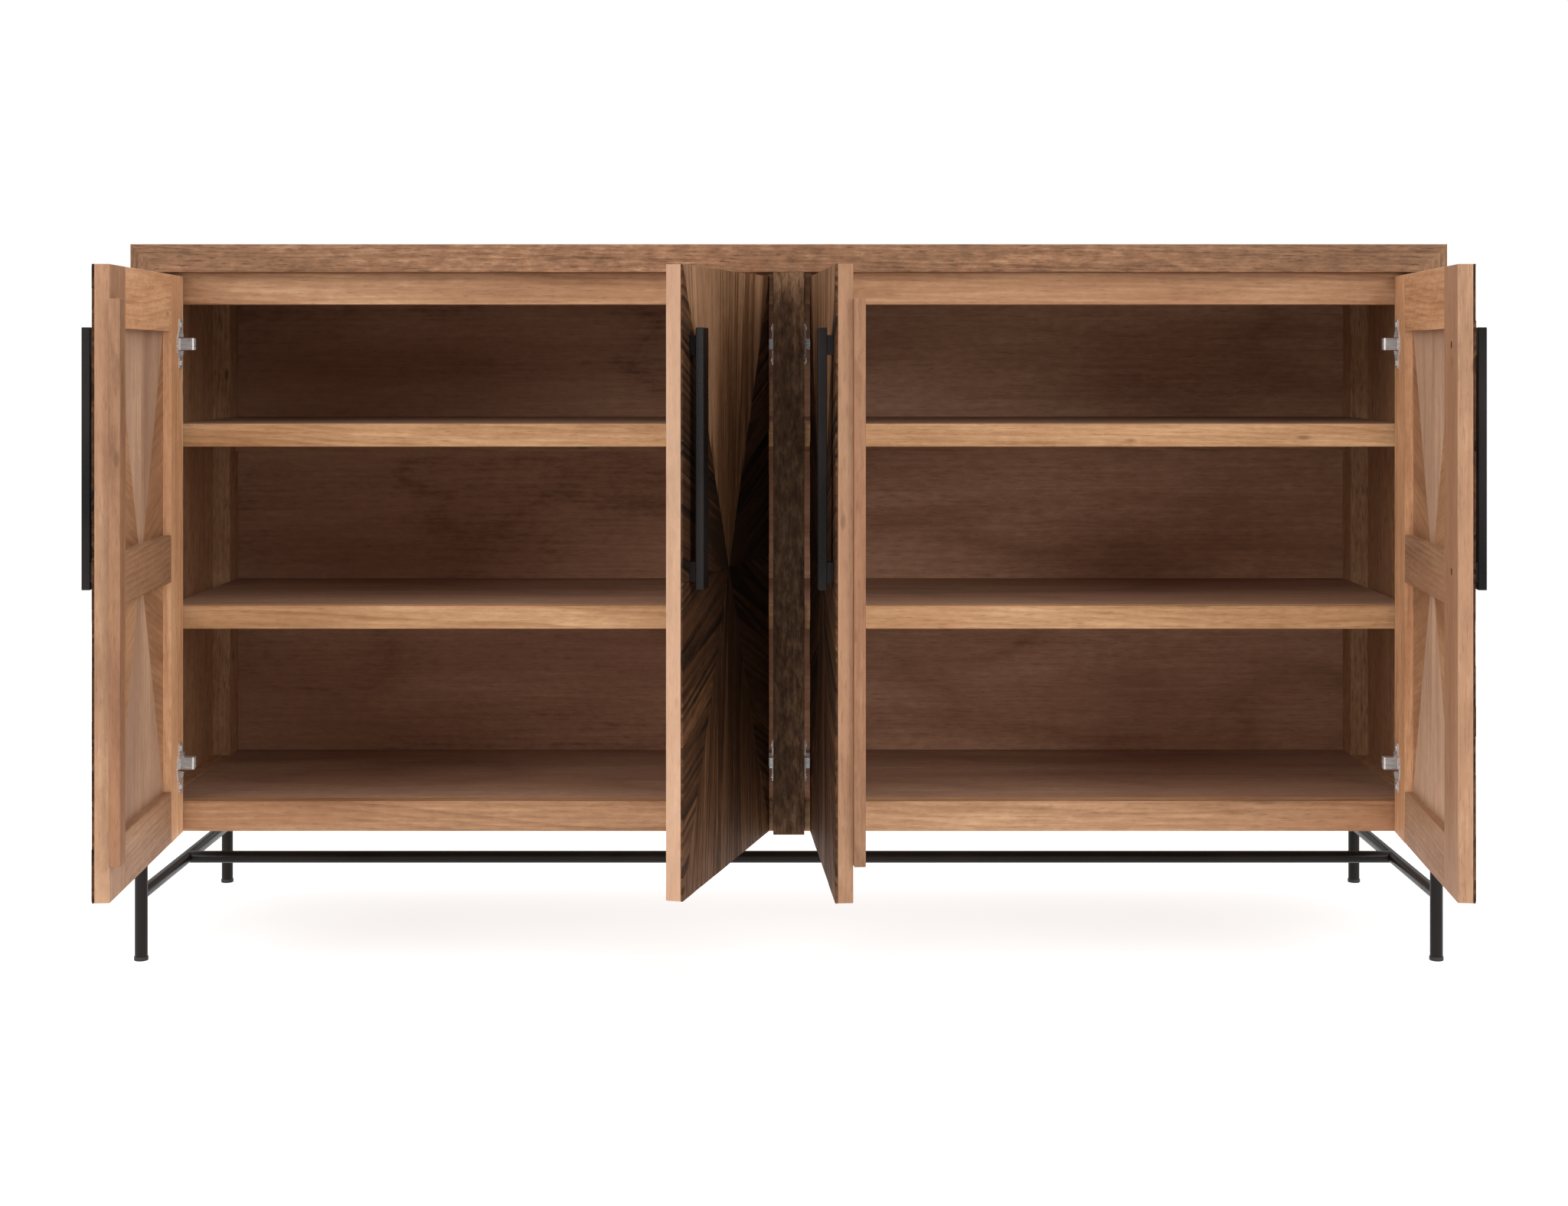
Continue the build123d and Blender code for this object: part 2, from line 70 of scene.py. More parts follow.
SIDE_BOARDS = 0.0872  # the same for the side panels
PAINTED_TOP_LIGHT_Z = (0.79, 0.87)  # where the centre post is painted paler, as painted light on its top

# ---- Doors: hinge face, direction of the shut door and rest angle, in metres and degrees.
# A door's own frame has X from the hinge face, Y back from the rails and Z up.
RAIL_Y = -0.2025
PIN = Vector((0.0145, -0.0155, 0))
DOORS = {
    "outer_left": (-0.790, 1, 86.5),
    "inner_left": (-0.0195, -1, 76.5),
    "inner_right": (0.0195, 1, 86),
    "outer_right": (0.790, -1, 85.5),
}
DOOR_X = (0.003, 0.384)
DOOR_Z = (0.161, 0.860)
DOOR_MIDDLE = (sum(DOOR_X) / 2, sum(DOOR_Z) / 2)
STILE_WIDTH = 0.072
RAIL_HEIGHT = 0.066
TOP_RAIL_LOW = 0.790
HANDLE_MIDDLE = (0.351, 0.646)
HANDLE_SCREWS = 0.251  # between a handle's two screws
SCREW_HOLE = 0.0045  # its radius

# ---- The mosaic on the doors' fronts, in a door's own frame
SKIN_BACK = -0.0195
SKIN_FRONT = -0.0225
SKIN_RELIEF = 0.0006  # how far a plank may lie below the thickest one
PLANK_WIDTH = (0.022, 0.062)
PLANK_EASE = 0.0005
PLANK_CONTRAST = 0.14
PAINTED_CENTRE_SHADE = 0.33  # painted shade: how much darker the planks are painted in the middle of the door
PAINTED_SHADE_REACH = 0.36
PAINTED_TRIANGLE_LIGHT = {"top": 0.25, "bottom": -0.02, "upper": -0.23, "lower": -0.14}  # painted light on the top triangle, painted shade on the others
UPRIGHT_FOCUS = 2.2  # how far off an upright triangle's planks meet, in heights of the triangle
SIDE_FOCUS = 3  # the same for a side triangle, in metres
SMALLEST_PLANK = 1e-6  # square metres
SIDE_SLOPE = 17  # degrees that the side planks rise towards the middle of the door

# ---- Camera and light
CAMERA_AT = (0.017, -3.057, 0.755)
LENS = 51.9
SHIFT = (-0.0117, -0.155)
WORLD_LIGHT = (0.20, 2.0)  # at the horizon and overhead
KEY_POWER = 34  # each of the two softboxes, left and right of the camera
KEY_AT = (2.0, -2.7, 1.5)  # the right one
KEY_TARGET = (0, 0, 0.5)
KEY_SIZE = (1.1, 1.8)
FLOOR_GLOW = 0.74
FLOOR_RADIUS = 4.0


def srgb(red, green, blue):
    """A colour given as it shows on a screen, 0 to 255, as linear RGBA."""
    def linear(value):
        value /= 255
        return value / 12.92 if value <= 0.04045 else ((value + 0.055) / 1.055) ** 2.4
    return (linear(red), linear(green), linear(blue), 1)


# ---- Woods: colours from dark to light, figure sizes in metres, and how much each part shows
LIGHT_WOOD = dict(
    colours=((88, 56, 34), (140, 100, 69), (171, 129, 94), (203, 163, 125)),
    tint=(156, 103, 68), ring=0.0075, rings=0.20, fibres=0.32, blotches=0.56, tone=0.08, pores=0.34,
    roughness=(0.50, 0.68), relief=0.00012, mottle=0.24, gloss=0.35, knots=0.55,
)
LIP_WOOD = LIGHT_WOOD | {
    "colours": ((98, 64, 38), (158, 115, 76), (190, 147, 106), (220, 181, 138)),
    "tint": (172, 122, 80),
}
DOOR_WOOD = dict(
    colours=((84, 54, 35), (134, 98, 70), (160, 121, 91), (188, 151, 119)),
    tint=(144, 92, 62), ring=0.0075, rings=0.18, fibres=0.28, blotches=0.50, tone=0.12, pores=0.35,
    roughness=(0.50, 0.68), relief=0.00015, mottle=0.24, gloss=0.35, knots=0.55,
)
WEATHERED_WOOD = dict(
    colours=((56, 36, 24), (106, 74, 52), (140, 100, 71), (176, 136, 102)),
    tint=(122, 94, 70), ring=0.006, rings=0.16, fibres=0.30, blotches=0.36, mottle=0.55, tone=0.10,
    pores=0.65, roughness=(0.58, 0.80), relief=0.00035, gloss=0.3, knots=0.6,
)
POST_WOOD = dict(
    colours=((30, 18, 10), (66, 44, 28), (96, 67, 45), (134, 100, 72)),
    tint=(80, 60, 42), ring=0.006, rings=0.10, fibres=0.24, blotches=0.44, mottle=0.95, tone=0.33,
    pores=0.60, roughness=(0.60, 0.82), relief=0.00035, gloss=0.2,
)
MOSAIC_WOOD = dict(
    colours=((20, 11, 6), (66, 41, 24), (110, 76, 50), (158, 120, 90)),
    tint=(84, 54, 33), ring=0.009, rings=0.34, fibres=0.30, blotches=0.34, mottle=0.22, tone=1.0,
    pores=0.35, roughness=(0.50, 0.70), relief=0.0003, gloss=0.1,
)
WEDGE_WOOD = dict(
    colours=((99, 68, 49), (156, 118, 93), (189, 152, 125), (215, 181, 155)),
    tint=(140, 108, 90), ring=0.012, rings=0.07, fibres=0.24, blotches=0.54, mottle=0.18, tone=0.22,
    pores=0.25, roughness=(0.52, 0.70), relief=0.00012, gloss=0.4,
)
BACK_PLY = dict(
    colours=((106, 72, 52), (152, 111, 86), (174, 131, 103), (196, 153, 124)),
    tint=(160, 112, 87), ring=0.03, rings=0.26, fibres=0.32, blotches=0.40, tone=0.26, pores=0.40,
    roughness=(0.55, 0.72), relief=0.00008, mottle=0.40, gloss=0.35,
)
SHELF_PLY = dict(
    colours=((98, 69, 53), (142, 109, 89), (165, 130, 107), (190, 155, 130)),
    tint=(145, 104, 82), ring=0.03, rings=0.22, fibres=0.32, blotches=0.36, tone=0.05, pores=0.35,
    roughness=(0.55, 0.72), relief=0.00008, mottle=0.30, gloss=0.35,
)
STILE_INSIDE = ((108, 72, 44), (154, 112, 78), (176, 135, 100), (192, 155, 122))
PANEL_INSIDE = ((112, 72, 44), (152, 108, 76), (170, 127, 93), (184, 144, 112))
# warmer wood with painted light, for the doors' hinge stiles and top rails
WARM_PAINTED_LIGHT_DOOR_WOOD = ((120, 76, 46), (170, 119, 81), (202, 152, 112), (226, 182, 142))
SIDE_WEDGES = ((78, 48, 30), (126, 85, 56), (160, 116, 82), (190, 147, 112))
PALE = (236, 204, 180)
DOOR_PALENESS = {"outer_left": 0.0, "inner_left": 0.32, "inner_right": 0.06, "outer_right": 0.04}

# ---- Figure of the woods: waves in a metre along the grain, and across it both ways
FIBRES = (7, 230, 230)
BLOTCHES = (2.4, 16, 16)
MOTTLE = (50, 130, 130)
PORES = (55, 900, 900)
TINTS = (1.5, 9, 9)
KNOTS = (10, 30, 30)
BEND_WAVES = (1.6, 7, 7)
WAVER_WAVES = (9, 60, 60)
CONTOUR_WAVES = (1.1, 2.6, 2.6)

# ---- Growth rings, in metres
BEND_SIZE = 0.055  # how far they wander
WAVER_SIZE = 0.006
RINGS_CENTRE = (0, 0.035, -0.03)  # across the grain from a piece's own axis
RINGS_CENTRE_SPREAD = (0, 0.07, 0.03)  # and how much that differs between pieces
RINGS_TAPER = 0.035  # drift across the rings in each metre along the grain

MEAN_SHADE = 0.62  # on a wood's scale from dark to light, 0 to 1
FIGURE_SHIFT = (3, 0.5, 0.5)  # metres between the figures of two pieces
# how dark the joint lines are, and also the painted shade in the handles' screw holes
JOINT_DARKNESS = 0.75
PORE_LEVELS = (0.60, 0.72)
TINT_LEVELS = (0.42, 0.68)
TINT_SHARE = 0.45
ROUGHNESS_SHADES = (0.25, 0.85)  # the shades at which a wood is roughest and smoothest
KNOT_RARITY = 0.6  # the share of cells without a knot
KNOT_RIM = (0.13, 0.04)  # in cells from a knot's middle: where it starts and where it is full

# ---- Cells that tell pieces apart, so that each gets its own tone and figure, in metres
WHOLE = 50  # a size that keeps a piece whole
HALVES = 1.0  # a size that tells left from right, or front from rear
NO_CELLS = (WHOLE, WHOLE, WHOLE)
LEVELS = (HALVES, WHOLE, 0.115)  # and one shelf or rail from the next
DOOR_STILES = (WHOLE, DOOR_MIDDLE[0], WHOLE)
DOOR_RAILS = (WHOLE, WHOLE, 0.3)
STRIP_LIFT = -2.2  # the overlap strips' tone, below that of the stiles

# ---- Metals and plastic, from dark to light
BASE_BLACK = ((12, 8, 6), (26, 20, 18))
# the handles' black: the coating's own colour, lightened and greyed with a painted sheen
HANDLE_BLACK_PAINTED_SHEEN = ((17, 13, 12), (38, 31, 31))
NICKEL = ((176, 170, 168), (222, 217, 214))
PLASTIC_BLACK = ((22, 21, 21), (40, 38, 37))
FLOOR_GREY = ((166, 166, 166), (172, 172, 172))


class Graph:
    """Short calls that build the nodes of a material or a world."""

    def __init__(self, owner):
        owner.use_nodes = True
        self.owner = owner
        self.tree = owner.node_tree
        self.shader = self.tree.nodes.get("Principled BSDF")

    def feed(self, socket, value):
        if isinstance(value, bpy.types.NodeSocket):
            self.tree.links.new(value, socket)
        else:
            socket.default_value = value

    def node(self, kind, settings=None, inputs=None):
        node = self.tree.nodes.new("ShaderNode" + kind)
        for key, value in (settings or {}).items():
            setattr(node, key, value)
        for key, value in (inputs or {}).items():
            self.feed(node.inputs[key], value)
        return node

    def math(self, operation, *values):
        return self.node("Math", {"operation": operation}, dict(enumerate(values))).outputs[0]

    def vector(self, operation, *values):
        node = self.node("VectorMath", {"operation": operation}, dict(enumerate(values)))
        return node.outputs["Value" if operation in ("LENGTH", "DOT_PRODUCT") else "Vector"]

    def noise(self, vector, stretch, detail=2.0, roughness=0.5, output=0):
        stretched = self.vector("MULTIPLY", vector, stretch)
        inputs = {"Vector": stretched, "Scale": 1.0, "Detail": detail, "Roughness": roughness}
        return self.node("TexNoise", inputs=inputs).outputs[output]

    def remap(self, value, low, high, to_low=0.0, to_high=1.0):
        inputs = {0: value, 1: low, 2: high, 3: to_low, 4: to_high}
        return self.node("MapRange", inputs=inputs).outputs[0]

    def ease(self, value, low, high):
        """A smooth step from 0 to 1."""
        inputs = {0: value, 1: low, 2: high}
        return self.node("MapRange", {"interpolation_type": "SMOOTHSTEP"}, inputs).outputs[0]

    def mix(self, factor, first, second):
        return self.node("Mix", {"data_type": "RGBA"}, {0: factor, 6: first, 7: second}).outputs[2]

    def mix_vectors(self, factor, first, second):
        return self.node("Mix", {"data_type": "VECTOR"}, {0: factor, 4: first, 5: second}).outputs[1]

    def ramp(self, factor, colours):
        node = self.node("ValToRGB", inputs={0: factor})
        stops = node.color_ramp.elements
        while len(stops) < len(colours):
            stops.new(0.5)
        for index, colour in enumerate(colours):
            stops[index].position = index / (len(colours) - 1)
            stops[index].color = srgb(*colour)
        return node.outputs[0]

    def split(self, vector):
        return self.node("SeparateXYZ", inputs={0: vector}).outputs

    def finish(self, colour, roughness, height=None, relief=0.0):
        self.feed(self.shader.inputs["Base Color"], colour)
        self.feed(self.shader.inputs["Roughness"], roughness)
        if height is not None:
            bump = self.node("Bump", inputs={"Strength": 0.8, "Distance": relief, "Height": height})
            self.feed(self.shader.inputs["Normal"], bump.outputs[0])
        return self.owner


def new_material(name):
    return Graph(bpy.data.materials.new(name))


# ---- Grain directions

GRAIN = {
    "x": Matrix.Identity(3),
    "y": Matrix(((0, 1, 0), (0, 0, 1), (1, 0, 0))),
    "z": Matrix(((0, 0, 1), (1, 0, 0), (0, 1, 0))),
}


def case_grain(graph, grain):
    """Coordinates with X along the grain, from the case's own frame."""
    return mapped(graph, GRAIN[grain], Vector((1, 1, 1)), Vector((0, 0, 0)))


def door_grain(graph, door, turn):
    """Coordinates with X along the grain, from a door's own frame."""
    face_x, direction, angle = DOORS[door]
    swing = Matrix.Rotation(math.radians(angle), 3, "Z")
    corner = Vector((direction * face_x, RAIL_Y, 0))
    offset = PIN - swing @ (corner + PIN)
    return mapped(graph, turn @ swing, Vector((direction, 1, 1)), turn @ offset)


def mapped(graph, turn, flip, offset):
    """The object's coordinates, flipped, turned and shifted."""
    inputs = {
        "Vector": graph.node("TexCoord").outputs["Object"],
        "Location": offset,
        "Rotation": turn.to_euler("XYZ"),
        "Scale": flip,
    }
    return graph.node("Mapping", inputs=inputs).outputs[0]


# ---- Wood

def piece_noise(graph, grain, cells, seed):
    """One random value and vector for each piece, told apart by cells of the coordinates."""
    centred = tuple(0.5 if size == WHOLE else 0.0 for size in cells)
    cell = graph.vector("FLOOR", graph.vector("ADD", graph.vector("DIVIDE", grain, cells), centred))
    node = graph.node("TexWhiteNoise", {"noise_dimensions": "4D"}, {"Vector": cell, "W": float(seed)})
    return node.outputs[0], node.outputs[1]


def ring_lines(graph, grain, spread, spacing):
    """Growth rings about an axis near the grain, each with its own strength."""
    bend = graph.noise(grain, BEND_WAVES, 2.0, output=1)
    bend = graph.vector("SUBTRACT", bend, (0.5, 0.5, 0.5))
    bend = graph.vector("MULTIPLY", bend, (0, BEND_SIZE, BEND_SIZE))
    waver = graph.noise(grain, WAVER_WAVES, 2.0, output=1)
    waver = graph.vector("SUBTRACT", waver, (0.5, 0.5, 0.5))
    waver = graph.vector("MULTIPLY", waver, (0, WAVER_SIZE, WAVER_SIZE))
    place = graph.vector("ADD", grain, graph.vector("MULTIPLY", spread, RINGS_CENTRE_SPREAD))
    place = graph.vector("ADD", graph.vector("ADD", place, bend), waver)
    place = graph.vector("MULTIPLY", graph.vector("SUBTRACT", place, RINGS_CENTRE), (0, 1, 1))
    along = graph.vector("DOT_PRODUCT", grain, (RINGS_TAPER, 0, 0))
    count = graph.math("DIVIDE", graph.math("ADD", graph.vector("LENGTH", place), along), spacing)
    strength = graph.node("TexWhiteNoise", {"noise_dimensions": "1D"}, {"W": graph.math("FLOOR", count)})
    within = graph.math("FRACT", count)
    line = graph.math("MULTIPLY", graph.ease(within, 0.1, 0.8), graph.ease(within, 1.0, 0.82))
    return graph.math("MULTIPLY", line, graph.remap(strength.outputs[0], 0, 1, 0.2, 1))


def contour_lines(graph, grain, spacing):
    """The wide wandering figure of peeled veneer."""
    field = graph.noise(grain, CONTOUR_WAVES, 3.0, 0.45)
    count = graph.math("MULTIPLY", field, 0.45 / spacing)
    return graph.math("POWER", graph.math("PINGPONG", count, 1.0), 3.0)


def knots(graph, grain):
    """Small dark knots, far apart: 1 in a knot, 0 elsewhere."""
    place = graph.vector("MULTIPLY", grain, KNOTS)
    cells = graph.node("TexVoronoi", inputs={"Vector": place, "Scale": 1.0})
    chosen = graph.math("GREATER_THAN", graph.split(cells.outputs["Color"])[0], KNOT_RARITY)
    return graph.math("MULTIPLY", chosen, graph.ease(cells.outputs["Distance"], *KNOT_RIM))


def wood(graph, grain, spread, tone, look, peeled=False, joints=None, inside=None, inside_colours=None):
    """Wood figure and finish from coordinates with X along the grain.

    Spread shifts the figure, and tone lightens it; on the mosaic planks tone also carries painted light and
    shade. Lines are dark where joints is 1, which on the door stiles also paints shade into the screw holes,
    and inside_colours take over where inside is 1, which on the door frames paints light on the hinge stile
    and top rail.
    """
    shifted = graph.vector("ADD", grain, graph.vector("MULTIPLY", spread, FIGURE_SHIFT))
    if peeled:
        rings = contour_lines(graph, shifted, look["ring"])
    else:
        rings = ring_lines(graph, grain, spread, look["ring"])
    fibres = graph.noise(shifted, FIBRES, 3.0, 0.6)
    blotches = graph.noise(shifted, BLOTCHES, 3.0, 0.55)
    mottle = graph.noise(shifted, MOTTLE, 4.0, 0.7)
    pores = graph.remap(graph.noise(shifted, PORES, 1.0), *PORE_LEVELS)
    shade = graph.math("ADD", MEAN_SHADE, graph.math("MULTIPLY", rings, -look["rings"]))
    for value, key in ((fibres, "fibres"), (blotches, "blotches"), (mottle, "mottle"), (tone, "tone")):
        share = look[key] if key == "tone" else 2 * look[key]
        shade = graph.math("ADD", shade, graph.math("MULTIPLY", graph.math("SUBTRACT", value, 0.5), share))
    colour = graph.ramp(shade, look["colours"])
    tint = graph.remap(graph.noise(shifted, TINTS, 2.0), *TINT_LEVELS, 0, TINT_SHARE)
    colour = graph.mix(tint, colour, srgb(*look["tint"]))
    if inside is not None:
        colour = graph.mix(inside, colour, graph.ramp(shade, inside_colours))
    height = graph.math("SUBTRACT", fibres, graph.math("MULTIPLY", rings, 0.5))
    dark = graph.math("MULTIPLY", pores, look["pores"])
    if "knots" in look:
        dark = graph.math("MAXIMUM", dark, graph.math("MULTIPLY", knots(graph, shifted), look["knots"]))
    if joints is not None:
        dark = graph.math("MAXIMUM", dark, graph.math("MULTIPLY", joints, JOINT_DARKNESS))
        height = graph.math("SUBTRACT", height, graph.math("MULTIPLY", joints, 2.0))
    colour = graph.mix(dark, colour, srgb(*look["colours"][0]))
    height = graph.math("SUBTRACT", height, graph.math("MULTIPLY", pores, 0.5))
    smoothest, roughest = look["roughness"]
    roughness = graph.remap(shade, *ROUGHNESS_SHADES, roughest, smoothest)
    graph.shader.inputs["Specular IOR Level"].default_value = look["gloss"]
    return graph.finish(colour, roughness, height, look["relief"])


def case_wood(name, look, grain, cells, seed, **options):
    """Wood on parts of the case, told apart by cells."""
    graph = new_material(name)
    coordinates = case_grain(graph, grain)
    tone, spread = piece_noise(graph, coordinates, cells, seed)
    return wood(graph, coordinates, spread, tone, look, **options)


def seams(graph, value, places):
    """1 in a thin band at each of the places along an axis, 0 elsewhere."""
    bands = [graph.math("COMPARE", value, place, SEAM) for place in places]
    return functools.reduce(lambda first, second: graph.math("MAXIMUM", first, second), bands)


def side_wood(name, grain, cells, seed, inside_colours, panel=False):
    """A side frame's wood: weathered outside, and fresh where it faces the compartments."""
    graph = new_material(name)
    coordinates = case_grain(graph, grain)
    tone, spread = piece_noise(graph, coordinates, cells, seed)
    x, y, z = graph.split(graph.node("TexCoord").outputs["Object"])
    out = graph.math("ABSOLUTE", x)
    recess = graph.math("COMPARE", y, 0.0, PANEL_Y[1] + SLACK)
    recess = graph.math("MULTIPLY", recess, graph.math("LESS_THAN", out, PANEL_INNER_X + SLACK))
    inside = graph.math("MAXIMUM", recess, graph.math("LESS_THAN", out, STILE_INNER_X + SLACK))
    joints = seams(graph, y, PANEL_Y)
    if panel:
        joints = graph.math("MAXIMUM", joints, seams(graph, z, PANEL_Z))
    joints = graph.math("MULTIPLY", joints, graph.math("GREATER_THAN", out, HALF_WIDTH - SLACK))
    options = dict(joints=joints, inside=inside, inside_colours=inside_colours)
    return wood(graph, coordinates, spread, tone, WEATHERED_WOOD, **options)


def post_wood():
    """The centre post, painted a little paler towards its top as painted light from above."""
    graph = new_material("dark_post")
    grain = case_grain(graph, "z")
    _, spread = piece_noise(graph, grain, NO_CELLS, 16)
    # painted light: the post's top is lightened as if lit from above
    painted_top_light = graph.ease(graph.split(grain)[0], *PAINTED_TOP_LIGHT_Z)
    return wood(graph, grain, spread, graph.math("ADD", 0.5, painted_top_light), POST_WOOD)


def rear_frame_wood():
    """The rear frame: grain along its rails, and upright on its middle stile."""
    graph = new_material("light_wood_rear")
    along, upright = case_grain(graph, "x"), case_grain(graph, "z")
    x, _, z = graph.split(along)
    stile = graph.math("COMPARE", x, 0.0, REAR_STILE / 2 + SLACK)
    below = graph.math("COMPARE", z, sum(REAR_STILE_Z) / 2, (REAR_STILE_Z[1] - REAR_STILE_Z[0]) / 2)
    stile = graph.math("MULTIPLY", stile, below)
    upper = graph.math("MAXIMUM", stile, graph.math("GREATER_THAN", z, CASE_MIDDLE_Z))
    key = graph.node("CombineXYZ", inputs={0: stile, 1: upper, 2: 0.0})
    tone, spread = graph.node("TexWhiteNoise", inputs={"Vector": key.outputs[0]}).outputs
    return wood(graph, graph.mix_vectors(stile, along, upright), spread, tone, LIGHT_WOOD)


def paler(colour, amount):
    """A colour moved towards the pale one, by 0 to 1."""
    return tuple(a + (b - a) * amount for a, b in zip(colour, PALE))


def painted_screw_hole_shade(graph, x, z):
    """1 in the holes that reach a handle's screws, where painted shade darkens them, 0 elsewhere."""
    height = graph.math("ABSOLUTE", graph.math("SUBTRACT", z, HANDLE_MIDDLE[1]))
    offset = graph.node("CombineXYZ", inputs={
        0: graph.math("SUBTRACT", x, HANDLE_MIDDLE[0]),
        1: graph.math("SUBTRACT", height, HANDLE_SCREWS / 2),
        2: 0.0,
    })
    return graph.math("LESS_THAN", graph.vector("LENGTH", offset.outputs[0]), SCREW_HOLE)


def door_wood(name, door, grain, cells, seed, lift=0.0):
    """A door frame's wood: warmer wood with painted light on the hinge stile and the top rail, with painted
    shade in the holes for a handle's screws.
    """
    graph = new_material(f"{name}_{door}")
    coordinates = door_grain(graph, door, GRAIN[grain])
    tone, spread = piece_noise(graph, coordinates, cells, seed + list(DOORS).index(door))
    tone = graph.math("ADD", tone, lift)
    painted_hole_shade = None
    if grain == "z":
        z, x, _ = graph.split(coordinates)
        # the hinge stile: warmer wood, painted lighter as painted light
        warm_and_painted_light = graph.math("LESS_THAN", x, DOOR_MIDDLE[0])
        if f"overlap_strip_{door}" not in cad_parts:
            # painted shade in the screw holes
            painted_hole_shade = painted_screw_hole_shade(graph, x, z)
    else:
        # the top rail: warmer wood, painted lighter as painted light
        warm_and_painted_light = graph.math("GREATER_THAN", graph.split(coordinates)[2], TOP_RAIL_LOW)
    paleness = DOOR_PALENESS[door]
    colours = tuple(paler(colour, paleness) for colour in DOOR_WOOD["colours"])
    look = DOOR_WOOD | {"colours": colours, "tint": paler(DOOR_WOOD["tint"], paleness)}
    options = dict(joints=painted_hole_shade, inside=warm_and_painted_light, inside_colours=WARM_PAINTED_LIGHT_DOOR_WOOD)
    return wood(graph, coordinates, spread, tone, look, **options)


def top_wood():
    """The top board: boards side by side along its length."""
    graph = new_material("weathered_top")
    grain = graph.vector("ADD", case_grain(graph, "x"), (0, TOP_BOARDS_SHIFT, 0))
    cells = (WHOLE, TOP_BOARDS, WHOLE)
    tone, spread = piece_noise(graph, grain, cells, 4)
    across = graph.math("FRACT", graph.math("DIVIDE", graph.split(grain)[1], TOP_BOARDS))
    joints = graph.remap(graph.math("ABSOLUTE", graph.math("SUBTRACT", across, 0.5)), 0.492, 0.498)
    return wood(graph, grain, spread, tone, WEATHERED_WOOD, joints=joints)


def back_ply():
    """The back panels' plywood, darker on the left than on the right."""
    graph = new_material("back_ply")
    grain = case_grain(graph, "x")
    right = graph.math("GREATER_THAN", graph.split(grain)[0], 0.0)
    _, spread = piece_noise(graph, grain, (HALVES, WHOLE, WHOLE), 18)
    return wood(graph, grain, spread, right, BACK_PLY, peeled=True)


def wedge_wood(door):
    """The door's back panels: upright grain in the middle wedges, sloping grain beside them."""
    graph = new_material(f"wedge_veneer_{door}")
    upright = door_grain(graph, door, Matrix.Identity(3))
    x, _, z = graph.split(upright)
    across = graph.math("SUBTRACT", x, DOOR_MIDDLE[0])
    height = graph.math("SUBTRACT", z, DOOR_MIDDLE[1])
    reach_x = graph.math("DIVIDE", graph.math("ABSOLUTE", across), (DOOR_X[1] - DOOR_X[0]) / 2 - STILE_WIDTH)
    reach_z = graph.math("DIVIDE", graph.math("ABSOLUTE", height), (DOOR_Z[1] - DOOR_Z[0]) / 2 - RAIL_HEIGHT)
    beside = graph.math("GREATER_THAN", reach_x, reach_z)
    side_x = graph.math("SIGN", across)
    side_z = graph.math("SIGN", height)
    quarter = graph.math("MULTIPLY", side_x, side_z)
    slope = graph.math("MULTIPLY", quarter, math.tan(math.radians(SIDE_SLOPE)))
    sloped_z = graph.math("SUBTRACT", z, graph.math("MULTIPLY", across, slope))
    sloping = graph.node("CombineXYZ", inputs={0: x, 1: sloped_z, 2: 0.0}).outputs[0]
    rising = graph.node("CombineXYZ", inputs={0: z, 1: x, 2: 0.0}).outputs[0]
    grain = graph.mix_vectors(beside, rising, sloping)
    key = graph.node("CombineXYZ", inputs={0: beside, 1: side_z, 2: graph.math("MULTIPLY", side_x, beside)})
    seed = 3.0 + list(DOORS).index(door)
    noise = graph.node("TexWhiteNoise", {"noise_dimensions": "4D"}, {"Vector": key.outputs[0], "W": seed})
    tone, spread = noise.outputs
    return wood(graph, grain, spread, tone, WEDGE_WOOD, inside=beside, inside_colours=SIDE_WEDGES)


def plank_wood():
    """The mosaic planks, whose meshes carry their own grain coordinates and tone, with painted light and
    shade in the tone.
    """
    graph = new_material("mosaic_planks")
    grain = graph.node("Attribute", {"attribute_name": "grain"}).outputs["Vector"]
    tone = graph.node("Attribute", {"attribute_name": "tone"}).outputs["Fac"]
    spread = graph.node("Attribute", {"attribute_name": "spread"}).outputs["Vector"]
    return wood(graph, grain, spread, tone, MOSAIC_WOOD)


# ---- Metal and plastic

def coated_metal(name, colours):
    """Satin black coating with a fine texture and a little dust."""
    graph = new_material(name)
    place = graph.node("TexCoord").outputs["Object"]
    grit = graph.noise(place, (900, 900, 900), 2.0)
    cloud = graph.noise(place, (14, 14, 5), 3.0)
    colour = graph.mix(graph.remap(cloud, 0.35, 0.7), *(srgb(*colour) for colour in colours))
    graph.shader.inputs["Specular IOR Level"].default_value = 0.22
    roughness = graph.remap(graph.math("ADD", cloud, grit), 0.7, 1.3, 0.26, 0.42)
    return graph.finish(colour, roughness, grit, 0.00003)


def nickel():
    """Pressed and plated steel, brushed a little by handling."""
    graph = new_material("nickel")
    place = graph.node("TexCoord").outputs["Object"]
    smear = graph.noise(place, (60, 60, 400), 3.0)
    colour = graph.mix(smear, *(srgb(*colour) for colour in NICKEL))
    graph.shader.inputs["Metallic"].default_value = 0.5
    return graph.finish(colour, graph.remap(smear, 0.3, 0.7, 0.22, 0.40), smear, 0.00002)


def black_plastic():
    """Matt moulded plastic with a fine grain."""
    graph = new_material("black_plastic")
    place = graph.node("TexCoord").outputs["Object"]
    grain = graph.noise(place, (500, 500, 500), 2.0)
    colour = graph.mix(grain, *(srgb(*colour) for colour in PLASTIC_BLACK))
    return graph.finish(colour, graph.remap(grain, 0.3, 0.7, 0.5, 0.66), grain, 0.00004)


